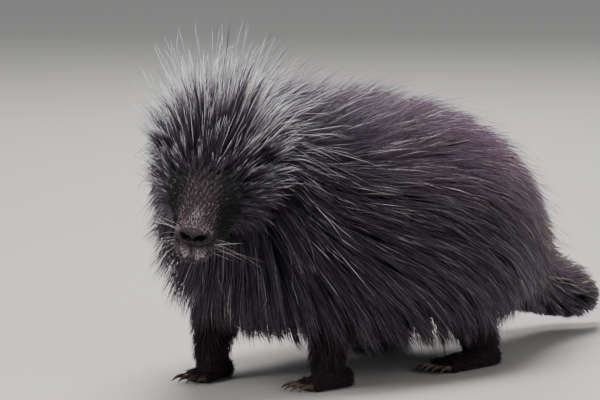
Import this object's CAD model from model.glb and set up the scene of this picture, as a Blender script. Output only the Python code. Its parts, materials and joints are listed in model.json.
import json
import math

import bpy
import numpy as np
from mathutils import Matrix, Vector

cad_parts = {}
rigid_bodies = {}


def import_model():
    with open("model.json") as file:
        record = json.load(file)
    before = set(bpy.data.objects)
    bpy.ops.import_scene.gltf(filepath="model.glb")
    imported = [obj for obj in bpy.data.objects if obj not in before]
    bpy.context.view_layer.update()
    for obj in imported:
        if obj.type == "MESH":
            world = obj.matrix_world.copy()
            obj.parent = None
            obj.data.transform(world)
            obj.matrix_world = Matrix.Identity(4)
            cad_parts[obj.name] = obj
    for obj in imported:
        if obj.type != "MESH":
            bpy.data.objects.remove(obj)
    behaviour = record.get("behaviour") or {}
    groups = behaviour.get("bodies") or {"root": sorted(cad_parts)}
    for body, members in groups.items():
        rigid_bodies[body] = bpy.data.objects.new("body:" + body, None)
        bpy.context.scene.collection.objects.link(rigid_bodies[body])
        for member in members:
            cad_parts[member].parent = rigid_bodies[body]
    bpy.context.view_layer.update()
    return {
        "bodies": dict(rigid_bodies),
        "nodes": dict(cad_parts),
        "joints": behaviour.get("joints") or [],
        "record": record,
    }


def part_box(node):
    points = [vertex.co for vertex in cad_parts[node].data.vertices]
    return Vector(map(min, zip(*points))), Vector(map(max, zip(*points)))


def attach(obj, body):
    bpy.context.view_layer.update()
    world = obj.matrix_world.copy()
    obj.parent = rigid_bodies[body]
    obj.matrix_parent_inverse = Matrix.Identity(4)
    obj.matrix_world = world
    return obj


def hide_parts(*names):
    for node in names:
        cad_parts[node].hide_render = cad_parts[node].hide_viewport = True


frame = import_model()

# A North American porcupine, life size, standing with its head turned to its left.
# Metres and degrees, +Z up, the head towards -Y and the animal's left at +X.
# The skin is a loft along the spine, and the coat is tapered strands that follow its lie.

# Trunk and tail, from the tail's tip forwards: centre x, y, z, then yaw, pitch and roll,
# half width, height above and below, squareness (2 is an ellipse), and depth of coat on
# top, at the sides, below, and of the skirt of longer hair along the lower sides.
bodySections = {
    "tailTip": (-0.012, 0.384, 0.031, 0, -10, 0, 0.008, 0.008, 0.008, 2.0, 0.012, 0.012, 0.006, 0),
    "tailClub": (-0.009, 0.354, 0.037, 0, -13, 0, 0.020, 0.017, 0.015, 2.0, 0.020, 0.022, 0.008, 0),
    "tailMiddle": (-0.005, 0.294, 0.053, 0, -20, 0, 0.027, 0.021, 0.019, 2, 0.028, 0.030, 0.010, 0),
    "tailBase": (-0.001, 0.240, 0.078, 0, -30, 0, 0.037, 0.031, 0.028, 2, 0.036, 0.036, 0.014, 0.006),
    "rump": (0, 0.200, 0.104, 0, -32, 0, 0.060, 0.055, 0.050, 2.1, 0.032, 0.031, 0.016, 0.024),
    "haunch": (0, 0.152, 0.130, 0, -20, 0, 0.085, 0.082, 0.068, 2.2, 0.033, 0.032, 0.016, 0.040),
    "loin": (0, 0.080, 0.149, 0, -8, 0, 0.096, 0.093, 0.078, 2.2, 0.044, 0.040, 0.018, 0.050),
    "ribs": (0, 0.000, 0.157, 0, 0, 0, 0.093, 0.090, 0.081, 2.2, 0.058, 0.040, 0.020, 0.050),
    "shoulder": (0, -0.084, 0.164, 2, -8, 0, 0.080, 0.080, 0.082, 2.1, 0.074, 0.046, 0.030, 0.040),
    "neckBase": (0.003, -0.142, 0.183, 9, -16, 1, 0.063, 0.064, 0.068, 2, 0.084, 0.052, 0.046, 0.020),
    "neck": (0.016, -0.183, 0.211, 21, -12, 3, 0.051, 0.050, 0.056, 2.0, 0.092, 0.046, 0.040, 0.008),
}
# The head: distance ahead of the eyes and height over them, then sizes as above.
headSections = {
    "occiput": (-0.073, -0.004, 0.043, 0.037, 0.041, 2.0, 0.084, 0.037, 0.026, 0),
    "ears": (-0.047, -0.005, 0.041, 0.033, 0.038, 2.1, 0.060, 0.028, 0.018, 0),
    "cheeks": (-0.022, -0.007, 0.0385, 0.029, 0.038, 2.2, 0.032, 0.017, 0.011, 0),
    "eyes": (0.000, -0.010, 0.0310, 0.0235, 0.036, 2.2, 0.009, 0.005, 0.006, 0),
    "muzzleRoot": (0.016, -0.014, 0.0225, 0.0215, 0.0330, 2.3, 0.005, 0.003, 0.004, 0),
    "muzzle": (0.033, -0.021, 0.0180, 0.0195, 0.0305, 2.4, 0.003, 0.002, 0.003, 0),
    "noseBack": (0.048, -0.028, 0.0175, 0.0190, 0.0245, 2.5, 0.002, 0.002, 0.002, 0),
    "nose": (0.057, -0.031, 0.0150, 0.0150, 0.0175, 2.5, 0.001, 0.001, 0.001, 0),
    "noseTip": (0.061, -0.032, 0.0095, 0.0095, 0.0110, 2.4, 0.0005, 0.0005, 0.0005, 0),
}
# headAt is the point midway between the eyes.
head = {"at": (0.068, -0.280, 0.2246), "yaw": 34.0, "pitch": 20.0, "roll": 7.0}
eye = {"radius": 0.0052, "ahead": 0.001, "round": 66.0, "sunk": 0.0032}
sectionNames = [*bodySections, *headSections]


def turned(yaw, pitch, roll):
    # Forward, left and up of a section: turned left by yaw, lowered by pitch, tilted by roll.
    yaw, pitch, roll = np.radians(yaw), np.radians(pitch), np.radians(roll)
    flat = np.zeros_like(yaw * 1.0)
    ahead = np.stack(
        [np.sin(yaw) * np.cos(pitch), -np.cos(yaw) * np.cos(pitch), -np.sin(pitch)], -1
    )
    level = np.stack([np.cos(yaw), np.sin(yaw), flat], -1)
    upright = np.cross(ahead, level)
    tiltCos, tiltSin = np.cos(roll)[..., None], np.sin(roll)[..., None]
    return ahead, tiltCos * level - tiltSin * upright, tiltCos * upright + tiltSin * level


headTurn = [np.array(head[key]) for key in ("yaw", "pitch", "roll")]
headAhead, headLeft, headUp = turned(*headTurn)


def spineTable(shift):
    # All sections from tail to nose, how far along the spine each stands, and their slopes.
    rows = [list(row) for row in bodySections.values()]
    for ahead, rise, *sizes in headSections.values():
        centre = np.array(head["at"]) + headAhead * ahead + headUp * rise
        rows.append([*centre, head["yaw"], head["pitch"], head["roll"], *sizes])
    rows = np.array(rows, float)
    rows[:, :3] += shift
    steps = np.linalg.norm(np.diff(rows[:, :3], axis=0), axis=1)
    along = np.concatenate([[0], np.cumsum(steps)])
    return {
        "rows": rows,
        "along": along,
        "slopes": np.gradient(rows, along, axis=0),
        "headAt": np.array(head["at"]) + shift,
        "place": dict(zip(sectionNames, along, strict=True)),
    }


def spineAt(along):
    # Every column of the table at these places, by cubic Hermite curves between sections.
    table, rows, slopes = spine["along"], spine["rows"], spine["slopes"]
    along = np.clip(np.asarray(along, float), table[0], table[-1])
    i = np.clip(np.searchsorted(table, along) - 1, 0, len(table) - 2)
    span = (table[i + 1] - table[i])[..., None]
    u = (along - table[i])[..., None] / span
    return (
        (2 * u**3 - 3 * u**2 + 1) * rows[i]
        + (u**3 - 2 * u**2 + u) * span * slopes[i]
        + (3 * u**2 - 2 * u**3) * rows[i + 1]
        + (u**3 - u**2) * span * slopes[i + 1]
    )


def bodyAt(along, around, share):
    # Superellipse sections: sideways is sin to the power 2 / squareness of the turn from the
    # top, upwards is cos likewise, and both grow by share of the coat's depth there.
    along, around = np.broadcast_arrays(np.asarray(along, float), np.radians(around))
    row = spineAt(along)
    centre, angles, sizes = row[..., :3], row[..., 3:6], row[..., 6:]
    width, above, below, square, furTop, furSide, furBelow, skirt = np.moveaxis(sizes, -1, 0)
    _, left, up = turned(angles[..., 0], angles[..., 1], angles[..., 2])
    across, rise = np.sin(around), np.cos(around)
    fur = furSide * across**2 + np.where(rise > 0, furTop, furBelow) * rise**2
    fur = fur + skirt * np.maximum(0, -2 * np.abs(across) * rise)
    depth = share * fur
    power = 2 / square
    sideways = np.sign(across) * np.abs(across) ** power * (width + depth)
    upwards = np.sign(rise) * np.abs(rise) ** power * (np.where(rise > 0, above, below) + depth)
    return centre + left * sideways[..., None] + up * upwards[..., None]


def unit(vectors):
    return vectors / np.maximum(np.linalg.norm(vectors, axis=-1, keepdims=True), 1e-12)


def atHead(ahead):
    # The place along the spine of a point this far ahead of the eyes.
    names = list(headSections)
    return np.interp(
        ahead, [headSections[n][0] for n in names], [spine["place"][n] for n in names]
    )


def alongSections(along, values):
    # A value given at some sections by name, for any place along the spine.
    names = [name for name in sectionNames if name in values]
    return np.interp(along, [spine["place"][n] for n in names], [values[n] for n in names])


def bodyFrame(along, around, share):
    # Points with outward, tailward and round-the-body unit vectors, and how many metres of
    # surface one metre along the spine and one degree of turn cover.
    here = bodyAt(along, around, share)
    back = bodyAt(along - 0.001, around, share) - bodyAt(along + 0.001, around, share)
    turn = bodyAt(along, around + 1, share) - bodyAt(along, around - 1, share)
    perMetre = np.linalg.norm(back, axis=-1) / 0.002
    perDegree = np.linalg.norm(turn, axis=-1) / 2
    tailward, roundBody = unit(back), unit(turn)
    out = unit(np.cross(roundBody, tailward))
    inside = np.sum(out * (here - spineAt(along)[..., :3]), -1, keepdims=True) < 0
    return here, np.where(inside, -out, out), tailward, roundBody, perMetre, perDegree


def eyeFrame(side):
    # The eyeball's centre, with axes forwards, towards the brow and out of the head.
    here, out, tailward, _, _, _ = bodyFrame(atHead(eye["ahead"]), side * eye["round"], 1.0)
    forward = unit(-tailward + out * np.sum(out * tailward))
    return here - out * eye["sunk"], forward, np.cross(out, forward), out


spine = spineTable(np.zeros(3))
eyeLow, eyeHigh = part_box("eye_left")
spine = spineTable(np.array((eyeLow + eyeHigh) / 2) - eyeFrame(1)[0])
place = spine["place"]
bodyShift = spine["headAt"] - np.array(head["at"])
print("spine of", len(spine["along"]), "sections, shifted by", np.round(bodyShift, 5))


# Helpers for meshes, colours and materials.


def makeObject(name, points, faces, colours=None, uvs=None, colourName="coatColour"):
    # A mesh object from an array of points and one of faces with the same number of sides.
    points, faces = np.asarray(points, np.float32), np.asarray(faces, np.int32)
    mesh = bpy.data.meshes.new(name)
    mesh.vertices.add(len(points))
    mesh.vertices.foreach_set("co", points.ravel())
    mesh.loops.add(faces.size)
    mesh.loops.foreach_set("vertex_index", faces.ravel())
    mesh.polygons.add(len(faces))
    mesh.polygons.foreach_set("loop_start", np.arange(len(faces), dtype=np.int32) * faces.shape[1])
    mesh.update(calc_edges=True)
    mesh.shade_smooth()
    if colours is not None:
        addColours(mesh, colourName, colours)
    if uvs is not None:
        layer = mesh.uv_layers.new(name="OFBake")
        layer.data.foreach_set("uv", np.asarray(uvs, np.float32).ravel())
    thing = bpy.data.objects.new(name, mesh)
    bpy.context.scene.collection.objects.link(thing)
    return thing


def addColours(mesh, name, colours):
    attribute = mesh.attributes.new(name, "FLOAT_COLOR", "POINT")
    rgba = np.ones((len(colours), 4), np.float32)
    rgba[:, :3] = colours
    attribute.data.foreach_set("color", rgba.ravel())


def linear(hexColour):
    # An sRGB hex colour as linear red, green and blue.
    value = np.array([int(hexColour[k : k + 2], 16) for k in (1, 3, 5)]) / 255
    return np.where(value <= 0.04045, value / 12.92, ((value + 0.055) / 1.055) ** 2.4)


def smooth(low, high, value):
    # 0 below low, 1 above high and a smooth step between.
    u = np.clip((value - low) / (high - low), 0, 1)
    return u * u * (3 - 2 * u)


def mix(a, b, share):
    return a + (b - a) * share


def addNode(tree, kind, settings=None, links=None, **values):
    # A node with its settings, input values by name (spaces as _) and links from sockets.
    node = tree.nodes.new(kind)
    for key, value in (settings or {}).items():
        setattr(node, key, value)
    for key, value in values.items():
        node.inputs[key.replace("_", " ")].default_value = value
    for key, socket in (links or {}).items():
        tree.links.new(socket, node.inputs[key])
    return node


def newMaterial(name):
    # An empty node tree with its output. The caller adds a Principled shader to it.
    material = bpy.data.materials.new(name)
    material.use_nodes = True
    tree = material.node_tree
    tree.nodes.clear()
    return material, tree, addNode(tree, "ShaderNodeOutputMaterial")


def dress(thing, material, nodes=()):
    thing.data.materials.clear()
    thing.data.materials.append(material)
    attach(thing, "root")
    if nodes:
        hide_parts(*nodes)
    return thing


def faceCount(thing):
    return sum(len(p.vertices) - 2 for p in thing.data.polygons)


def outward(points, faces):
    # Turns all triangles of a closed shape round if its signed volume is negative.
    corners = points[faces]
    volume = np.sum(np.cross(corners[:, 0], corners[:, 1]) * corners[:, 2])
    return points, faces[:, ::-1] if volume < 0 else faces


def loft(rings, first, last):
    # A closed tube of triangles through rings of points, with a fan to a point at each end.
    rings = np.asarray(rings, float)
    count, sides = rings.shape[:2]
    points = np.concatenate([rings.reshape(-1, 3), [first, last]])
    r, k = np.meshgrid(np.arange(count - 1), np.arange(sides), indexing="ij")
    a, b = (r * sides + k).ravel(), (r * sides + (k + 1) % sides).ravel()
    k = np.arange(sides)
    near, end = (k + 1) % sides, (count - 1) * sides
    pole = np.full(sides, count * sides)
    faces = [
        np.stack([a, b, b + sides], -1),
        np.stack([a, b + sides, a + sides], -1),
        np.stack([near, k, pole], -1),
        np.stack([end + k, end + near, pole + 1], -1),
    ]
    return outward(points, np.concatenate(faces))


def ball(centre, axes, radii, segments=32, rings=20):
    # An ellipsoid: each point is centre plus the axes scaled by the radii on a unit sphere.
    polar = np.linspace(0, math.pi, rings + 2)[1:-1, None]
    turn = np.linspace(0, 2 * math.pi, segments, endpoint=False)[None, :]
    local = np.stack(
        [np.sin(polar) * np.cos(turn), np.sin(polar) * np.sin(turn), np.cos(polar) + 0 * turn], -1
    )
    axes = np.asarray(axes, float) * np.asarray(radii, float)[:, None]
    return loft(centre + local @ axes, centre + axes[2], centre - axes[2])


def joined(shapes):
    # Several (points, faces) as one.
    offset, allPoints, allFaces = 0, [], []
    for points, faces in shapes:
        allPoints.append(points)
        allFaces.append(faces + offset)
        offset += len(points)
    return np.concatenate(allPoints), np.concatenate(allFaces)


def applied(thing, kind, **settings):
    # Adds a modifier, applies it and returns the object.
    modifier = thing.modifiers.new(kind.lower(), kind)
    for key, value in settings.items():
        setattr(modifier, key, value)
    graph = bpy.context.evaluated_depsgraph_get()
    made = bpy.data.meshes.new_from_object(thing.evaluated_get(graph))
    thing.modifiers.clear()
    thing.data = made
    return thing


def pointsOf(mesh):
    points = np.empty(len(mesh.vertices) * 3)
    mesh.vertices.foreach_get("co", points)
    return points.reshape(-1, 3)


def headCoords(points):
    # Distance ahead of the eyes, to the animal's left and up, in the head's own axes.
    away = points - spine["headAt"]
    return away @ headAhead, away @ headLeft, away @ headUp


# The skin of trunk, head and tail: one grid of points, with the face's forms worked in.
# Each face form is its middle (ahead, left, up), its radii and its tilt outwards.
skin = {
    "bodyStep": 0.0036,
    "headStep": 0.0009,
    "sides": 168,
    "share": {"ears": 0.0, "cheeks": 0.25, "eyes": 0.60, "muzzle": 0.50, "noseTip": 0.30},
    "capRings": 15,
    "capBulge": 0.0014,
    "capLength": 0.0100,
    "swells": {
        "nosePad": ((0.0545, 0.0, -0.0160), (0.0086, 0.0150, 0.0046), 0, 0.0024),
        "upperLip": ((0.0530, 0.0074, -0.0375), (0.0080, 0.0090, 0.0092), 6, 0.0022),
        "chin": ((0.0300, 0.0, -0.0485), (0.0220, 0.0125, 0.0066), 0, 0.0036),
        "cheek": ((0.0060, 0.0190, -0.0330), (0.0170, 0.0090, 0.0120), 0, 0.0060),
    },
    "nostril": ((0.0610, 0.0084, -0.0222), (0.0080, 0.0074, 0.0033), 13, 0.0009),
    "noseFold": {"up": -0.0246, "half": 0.0019, "deep": 0.0022, "reach": 0.0125},
    "orbit": ((0.0112, 0.0090, 0.0034), 0.0040),
    "mouth": {"up": -0.0478, "half": 0.0010, "deep": 0.0026, "from": 0.020},
    "philtrum": {"half": 0.0016, "deep": 0.0013, "low": -0.0480, "high": -0.0285},
}


def toEllipsoid(local, radii):
    # Distance to an ellipsoid: with k the length of the point over the radii, it is close to
    # k (k - 1) over the length of the point over the squared radii.
    k = np.linalg.norm(local / radii, axis=-1)
    return k * (k - 1) / np.maximum(np.linalg.norm(local / np.square(radii), axis=-1), 1e-9)


def blendLow(a, b, width):
    # The lower of two distances, rounded where they differ by less than the width.
    h = np.clip(0.5 + 0.5 * (b - a) / width, 0, 1)
    return b * (1 - h) + a * h - width * h * (1 - h)


def faceDistance(points, height):
    # How far each point is outside the face: the loft at height 0, with the swellings
    # joined on and the nostrils cut out, all with rounded joins.
    coords = np.stack(headCoords(points), -1)
    found = height
    for name, (middle, radii, tilt, width) in skin["swells"].items():
        for side in (1, -1) if middle[1] else (1,):
            found = blendLow(found, formDistance(coords, middle, radii, tilt, side), width)
    for side in (1, -1):
        centre, forward, up, out = eyeFrame(side)
        radii, width = skin["orbit"]
        away = points - centre
        local = np.stack([away @ forward, away @ up, away @ out], -1)
        found = blendLow(found, toEllipsoid(local, np.array(radii)), width)
        middle, radii, tilt, width = skin["nostril"]
        pit = formDistance(coords, middle, radii, tilt, side)
        found = -blendLow(-found, pit, width)
    return found


def formDistance(coords, middle, radii, tilt, side):
    away = coords - np.array(middle) * (1, side, 1)
    lean = math.radians(-tilt * side)
    left = away[..., 1] * math.cos(lean) - away[..., 2] * math.sin(lean)
    up = away[..., 1] * math.sin(lean) + away[..., 2] * math.cos(lean)
    return toEllipsoid(np.stack([away[..., 0], left, up], -1), np.array(radii))


def gridNormals(points):
    # Unit normals of a grid of points that closes round its second direction.
    ahead = np.gradient(points, axis=0)
    turn = np.roll(points, -1, axis=1) - np.roll(points, 1, axis=1)
    return unit(np.cross(ahead, turn))


def foldShare(ahead, left, up):
    # 1 in the crease that joins the nostrils under the pad: a Gaussian across its height.
    fold = skin["noseFold"]
    inside = smooth(fold["reach"], fold["reach"] - 0.003, np.abs(left)) * smooth(0.050, 0.054, ahead)
    return np.exp(-(((up - fold["up"]) / fold["half"]) ** 2)) * inside


def skinGrid():
    # The loft at the skin's share of the coat, closed in front by rings that shrink by s and
    # bulge by the root of 1 - s squared. Then the face moves along its normals until it meets
    # the joined forms, and the mouth and the groove under the nose are pressed in.
    start = place["occiput"]
    body = np.linspace(0, start, round(start / skin["bodyStep"]), endpoint=False)
    reach = spine["along"][-1] - start
    headPart = start + reach * (1 - (1 - np.linspace(0, 1, round(reach / skin["headStep"]))) ** 1.15)
    along = np.concatenate([body, headPart])
    around = np.arange(skin["sides"]) * 360 / skin["sides"]
    share = alongSections(along, skin["share"])[:, None]
    points = bodyAt(along[:, None], around[None, :], share)
    s = np.linspace(1, 0.04, skin["capRings"] + 1)[1:, None, None]
    middle = points[-1].mean(0)
    cap = middle + (points[-1] - middle) * s + headAhead * skin["capBulge"] * np.sqrt(1 - s**2)
    points = np.concatenate([points, cap])
    along = np.concatenate([along, along[-1] + (1 - s[:, 0, 0]) * skin["capLength"]])
    normals = gridNormals(points)
    out = np.sum(normals * (points - spineAt(along)[:, None, :3]), -1, keepdims=True)
    normals = np.where(out < 0, -normals, normals)
    face = along > atHead(-0.030)
    height = np.zeros(points[face].shape[:2])
    for _ in range(14):
        moved = points[face] + normals[face] * height[..., None]
        height -= 0.6 * faceDistance(moved, height)
    height = np.clip(height, -0.0065, 0.012)
    moved = points[face] + normals[face] * height[..., None]
    ahead, left, up = headCoords(moved)
    mouth, groove = skin["mouth"], skin["philtrum"]
    press = mouth["deep"] * np.exp(-(((up - mouth["up"]) / mouth["half"]) ** 2))
    press *= smooth(mouth["from"], mouth["from"] + 0.006, ahead)
    dent = groove["deep"] * np.exp(-((left / groove["half"]) ** 2))
    dent *= smooth(groove["low"] - 0.002, groove["low"], up) * smooth(0.045, 0.050, ahead)
    dent *= 1 - smooth(groove["high"], groove["high"] + 0.002, up)
    dent = np.maximum(dent, skin["noseFold"]["deep"] * foldShare(ahead, left, up))
    points[face] = moved - normals[face] * (press + dent)[..., None]
    normals = gridNormals(points)
    out = np.sum(normals * (points - spineAt(along)[:, None, :3]), -1, keepdims=True)
    return {"along": along, "points": points, "normals": np.where(out < 0, -normals, normals)}


grid = skinGrid()
print("skin grid", grid["points"].shape)


def onSkin(along, around):
    # Point, normal and tailward direction of the skin's grid between its own points.
    rows, sides = grid["along"], skin["sides"]
    i = np.clip(np.searchsorted(rows, along) - 1, 0, len(rows) - 2)
    u = np.clip((along - rows[i]) / (rows[i + 1] - rows[i]), 0, 1)[:, None]
    turn = (around % 360) / 360 * sides
    j = np.floor(turn).astype(int) % sides
    w = (turn - np.floor(turn))[:, None]
    k = (j + 1) % sides
    found = []
    for field in (grid["points"], grid["normals"]):
        near = mix(field[i, j], field[i, k], w)
        far = mix(field[i + 1, j], field[i + 1, k], w)
        found.append(mix(near, far, u))
        if not found[1:]:
            tailward = unit(near - far)
    return found[0], unit(found[1]), tailward


# Legs and feet. Stations: offset outwards and forwards, height, half width across and along.
foreLimb = {
    "stations": (
        (-0.016, -0.004, 0.150, 0.030, 0.036),
        (-0.006, -0.010, 0.112, 0.033, 0.038),
        (0.001, -0.014, 0.080, 0.028, 0.031),
        (0.001, -0.006, 0.052, 0.022, 0.023),
        (0.000, -0.002, 0.028, 0.0175, 0.0185),
        (0.000, -0.002, 0.010, 0.0160, 0.0180),
    ),
    "sole": (0.064, 0.024, 0.036),
    "instep": 0.023,
    "toes": 4,
    "claw": 0.021,
}
hindLimb = {
    "stations": (
        (-0.028, 0.016, 0.150, 0.040, 0.060),
        (-0.014, 0.020, 0.112, 0.038, 0.052),
        (-0.005, 0.014, 0.080, 0.030, 0.040),
        (0.000, -0.006, 0.052, 0.024, 0.029),
        (0.000, -0.020, 0.028, 0.0195, 0.0210),
        (0.000, -0.022, 0.010, 0.0180, 0.0200),
    ),
    "sole": (0.088, 0.028, 0.042),
    "instep": 0.024,
    "toes": 5,
    "claw": 0.019,
}
feet = {
    "fore_left": (foreLimb, 0.064, -0.104, 1, 8.0),
    "fore_right": (foreLimb, 0.060, -0.150, -1, 10.0),
    "hind_left": (hindLimb, 0.082, 0.088, 1, 4.0),
    "hind_right": (hindLimb, 0.080, 0.122, -1, 5.0),
}
legSkin = {"under": 0.0022, "voxel": 0.0020, "toeCut": 0.0013, "gap": 0.0003}


def footFrame(x, y, side, toeIn):
    # Origin in the middle of the sole, X outwards, Y forwards and Z up.
    turn = Matrix.Rotation(math.radians(side * -toeIn), 4, "Z")
    flip = Matrix.Diagonal((side, -1, 1, 1))
    spot = Vector((x + bodyShift[0], y + bodyShift[1], 0))
    return Matrix.Translation(spot) @ turn @ flip


def through(matrix, points):
    # Points carried through a 4 by 4 matrix.
    matrix = np.array(matrix)
    return np.asarray(points) @ matrix[:3, :3].T + matrix[:3, 3]


def toeFrames(limb, frame):
    # A frame at the tip of each toe, Y along the toe, fanned out across the foot.
    length, _, wide = limb["sole"]
    made = []
    for k in range(limb["toes"]):
        u = (k + 0.5) / limb["toes"] * 2 - 1
        tip = Vector((u * wide * 0.47, length * (0.5 - 0.10 * u * u), 0.0058))
        fan = Matrix.Rotation(math.radians(-14 * u), 4, "Z")
        made.append(frame @ Matrix.Translation(tip) @ fan)
    return made


def limbShape(limb, x, y, side):
    # Level ovals from inside the body to inside the foot, each radius under the fur.
    stations = np.array(limb["stations"])
    heights = np.linspace(stations[0, 2], stations[-1, 2], 44)
    kernel = np.array([1, 2, 3, 4, 3, 2, 1]) / 16
    columns = []
    for k in (0, 1, 3, 4):
        column = np.interp(-heights, -stations[:, 2], stations[:, k])
        columns.append(np.convolve(np.pad(column, 3, mode="edge"), kernel, mode="valid"))
    out, ahead, wide, deep = columns
    turns = np.linspace(0, 2 * math.pi, 40, endpoint=False)
    under = legSkin["under"]
    across = (x + bodyShift[0] + side * out)[:, None] + (wide - under)[:, None] * np.cos(turns)
    forward = (y + bodyShift[1] - ahead)[:, None] + (deep - under)[:, None] * np.sin(turns)
    rings = np.stack([across, forward, np.repeat(heights[:, None], 40, 1)], -1)
    return loft(rings, rings[0].mean(0), rings[-1].mean(0))


def pawShape(limb, frame):
    # A loft of ovals from heel to toe roots: wide as the sole, tall as the instep, and each
    # rounded off at the heel by the root of 1 minus the square of what is left to go.
    length, heel, toes = limb["sole"]
    u = np.linspace(0, 1, 24)[:, None]
    turns = np.linspace(0, 2 * math.pi, 32, endpoint=False)[None, :]
    swell = np.sqrt((1 - (1 - np.minimum(1, u / 0.30)) ** 2) * 0.80 + 0.20)
    swell = np.where(u > 0.8, 1.0 - (u - 0.8) * 0.8, swell)
    half = 0.5 * (heel + (toes - heel) * u) * swell
    tall = limb["instep"] * (1 - 0.50 * u) * (0.62 + 0.38 * swell)
    along = (-0.5 + 0.86 * u) * length
    rings = np.stack(
        [half * np.cos(turns), along + 0 * turns, tall * (0.45 + 0.55 * np.sin(turns))], -1
    )
    rings = through(frame, rings)
    return loft(rings, rings[0].mean(0), rings[-1].mean(0))


def legShape(name):
    # Leg, paw and toes melted into one surface and set flat on the floor.
    limb, xOut, y, side, toeIn = feet[name]
    frame = footFrame(side * xOut, y, side, toeIn)
    shapes = [limbShape(limb, side * xOut, y, side), pawShape(limb, frame)]
    width = limb["sole"][2] / limb["toes"] * 1.08
    for tip in toeFrames(limb, frame):
        axes = np.array(tip)[:3, :3].T
        knuckle = np.array(tip @ Vector((0, -0.0115, 0.0)))
        shapes.append(ball(knuckle, axes, (width / 2, 0.0105, 0.0066), 20, 14))
    thing = makeObject("leg_" + name, *joined(shapes))
    applied(thing, "REMESH", mode="VOXEL", voxel_size=legSkin["voxel"], adaptivity=0)
    applied(thing, "SMOOTH", factor=0.5, iterations=4)
    points = pointsOf(thing.data)
    points[:, 2] = np.maximum(points[:, 2], 0)
    thing.data.vertices.foreach_set("co", points.ravel())
    return thing


legObjects = {name: legShape(name) for name in feet}
tailPole = grid["points"][0].mean(0) + np.array([0, 0.002, 0])
nosePole = grid["points"][-1].mean(0)
skinObject = makeObject("skin", *loft(grid["points"], tailPole, nosePole))


def surfaceOf(thing):
    # A mesh's triangles as arrays: corners, unit normals and areas.
    mesh = thing.data
    mesh.calc_loop_triangles()
    index = np.empty(len(mesh.loop_triangles) * 3, np.int32)
    mesh.loop_triangles.foreach_get("vertices", index)
    corners = pointsOf(mesh)[index.reshape(-1, 3)]
    cross = np.cross(corners[:, 1] - corners[:, 0], corners[:, 2] - corners[:, 0])
    areas = np.linalg.norm(cross, axis=1) / 2
    return corners, unit(cross), areas


legSurfaces = {name: surfaceOf(thing) for name, thing in legObjects.items()}
holder = bpy.data.collections.new("legPieces")
for thing in legObjects.values():
    holder.objects.link(thing)
applied(
    skinObject, "BOOLEAN", operation="UNION", solver="MANIFOLD",
    operand_type="COLLECTION", collection=holder,
)
for thing in legObjects.values():
    bpy.data.objects.remove(thing, do_unlink=True)
bpy.data.collections.remove(holder)
print("skin with legs:", faceCount(skinObject), "triangles")

# Where the strands of a coat piece go: each is a three-sided tube that tapers to a point.


def strandObject(name, points, outs, halfWidth, taper, flatness, colours, rootUV):
    # points are rings along each strand and its tip. A ring's corners stand at 90, 210 and
    # 330 degrees round the strand, half as wide as halfWidth times the ring's taper.
    count, rings = points.shape[0], points.shape[1] - 1
    course = unit(np.gradient(points, axis=1))
    aside = unit(np.cross(course, outs))
    upper = np.cross(aside, course)
    turns = np.radians([90, 210, 330])
    across = aside[:, :rings, None] * np.cos(turns)[:, None]
    rise = upper[:, :rings, None] * np.sin(turns)[:, None] * flatness
    wide = (halfWidth[:, None] * np.asarray(taper))[:, :, None, None]
    corners = points[:, :rings, None] + (across + rise) * wide
    allPoints = np.concatenate([corners.reshape(count, -1, 3), points[:, -1:]], axis=1)
    faces, bands, sides = [(0, 1, 2)], [(0, 0, 0)], [(0, 1, 2)]
    for r in range(rings - 1):
        for k in range(3):
            a, b = r * 3 + k, r * 3 + (k + 1) % 3
            faces += [(a, a + 3, b + 3), (a, b + 3, b)]
            bands += [(r, r + 1, r + 1), (r, r + 1, r)]
            sides += [(k, k, k + 1), (k, k + 1, k + 1)]
    for k in range(3):
        last = (rings - 1) * 3
        faces.append((last + k, rings * 3, last + (k + 1) % 3))
        bands.append((rings - 1, rings, rings - 1))
        sides.append((k, k + 0.5, k + 1))
    first = (np.arange(count) * (rings * 3 + 1))[:, None, None]
    allFaces = (np.array(faces)[None] + first).reshape(-1, 3)
    patch = np.stack([np.array(sides) / 3, np.array(bands) / rings], -1) * bakePatch
    uvs = rootUV[:, None, None, :] * (1 - bakePatch) + patch[None]
    shades = np.concatenate([np.repeat(colours[:, :rings], 3, axis=1), colours[:, -1:]], axis=1)
    return makeObject(name, allPoints.reshape(-1, 3), allFaces, shades.reshape(-1, 3), uvs)


bakePatch = 0.003  # of the map's width, for each strand

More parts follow.
